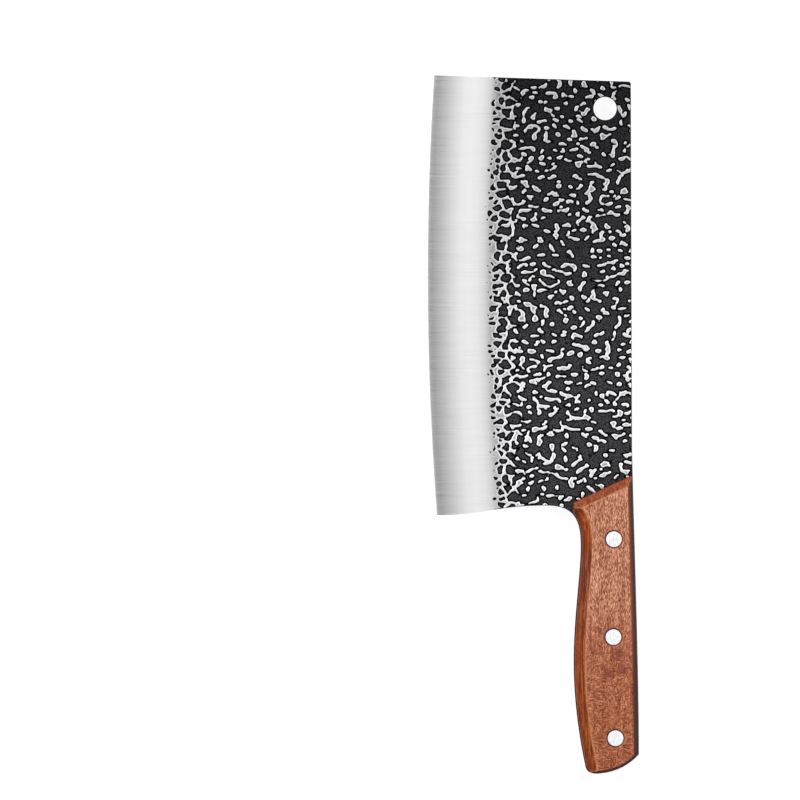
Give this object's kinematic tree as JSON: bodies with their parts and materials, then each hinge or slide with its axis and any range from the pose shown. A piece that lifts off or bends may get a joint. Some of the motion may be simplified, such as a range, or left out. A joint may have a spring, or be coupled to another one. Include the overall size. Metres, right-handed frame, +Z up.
{
  "type": "vegetable knife",
  "caption": "Broad rectangular Chinese vegetable cleaver with a hammered, ground blade, a hanging hole, a full tang and chamfered wooden scales held by cutlery rivets.",
  "frame": {"origin": "under the middle of the knife's footprint, on the surface that the handle's lower scale lies on", "axes": "+Y from the butt to the tip along the knife, +X from the cutting edge to the spine, +Z up through the thickness as the knife lies on its side"},
  "size_m": [0.0918, 0.3, 0.0204],
  "materials": {
    "blade_steel": "hammered dark scale with a bright satin ground edge",
    "handle_wood": "oiled reddish-brown hardwood",
    "rivet_steel": "polished"
  },
  "bodies": {
    "root": {"blade": "blade_steel", "upper_scale": "handle_wood", "lower_scale": "handle_wood", "front_rivet_male": "rivet_steel", "front_rivet_female": "rivet_steel", "middle_rivet_male": "rivet_steel", "middle_rivet_female": "rivet_steel", "butt_rivet_male": "rivet_steel", "butt_rivet_female": "rivet_steel"}
  },
  "joints": []
}
